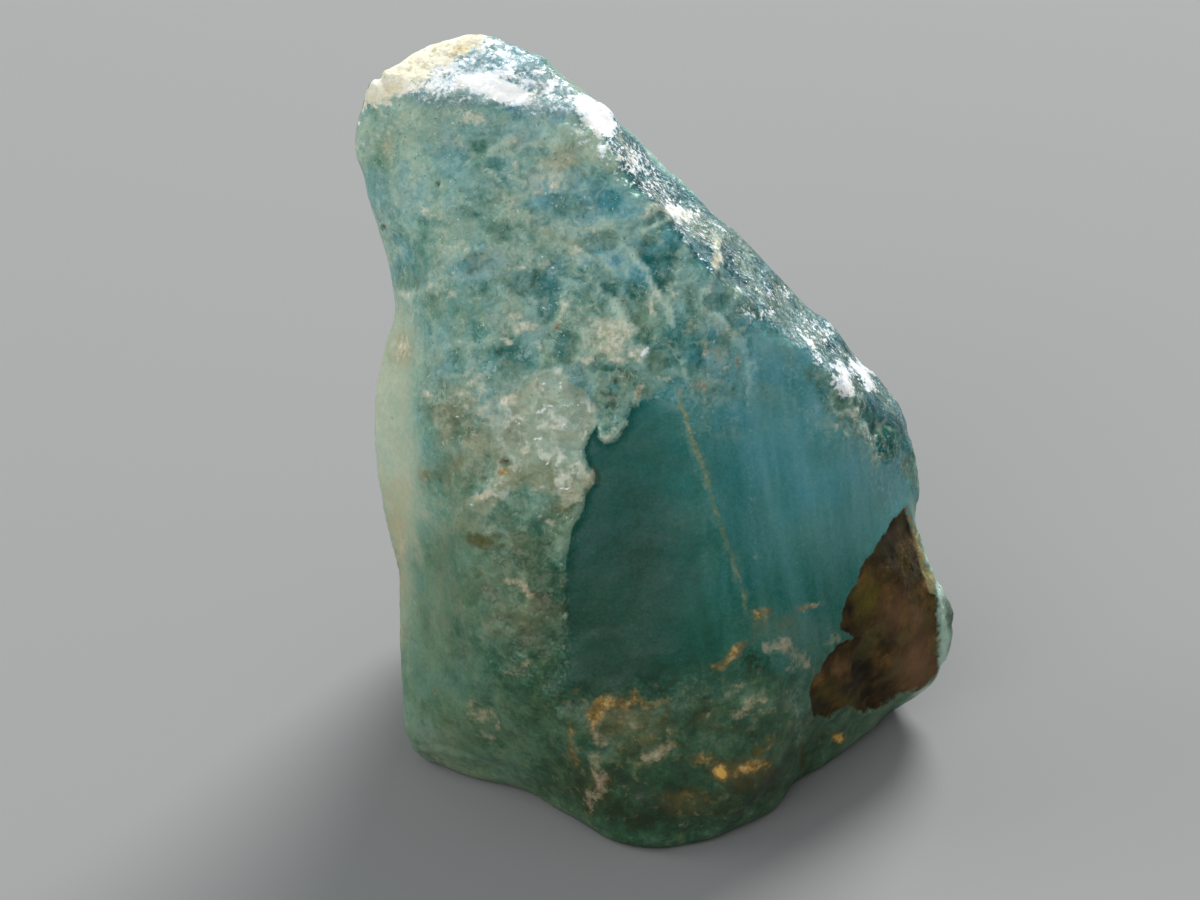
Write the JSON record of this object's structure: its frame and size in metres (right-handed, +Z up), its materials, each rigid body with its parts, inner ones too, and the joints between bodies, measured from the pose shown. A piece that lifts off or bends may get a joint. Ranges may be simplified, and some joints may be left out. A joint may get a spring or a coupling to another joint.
{
  "type": "rough grandidierite crystal",
  "caption": "Rough cloudy blue-green crystal standing on a flat foot: narrow leaning top, slanting break, smooth dark front face, brown skin at lower right.",
  "frame": {"origin": "middle of the bounding box, on the resting plane", "axes": "+Z up, out of the flat foot and along the crystal's length; -Y out of the front, the side with the smooth dark face; +X towards the end with the brown skin"},
  "size_m": [0.0158, 0.0138, 0.019],
  "materials": {
    "crystal": "cloudy translucent mineral, waxy on the smooth faces and granular on the breaks, with ochre stains and a matte brown skin at the lower right"
  },
  "bodies": {
    "root": {"grandidierite_crystal": "crystal"}
  },
  "joints": []
}
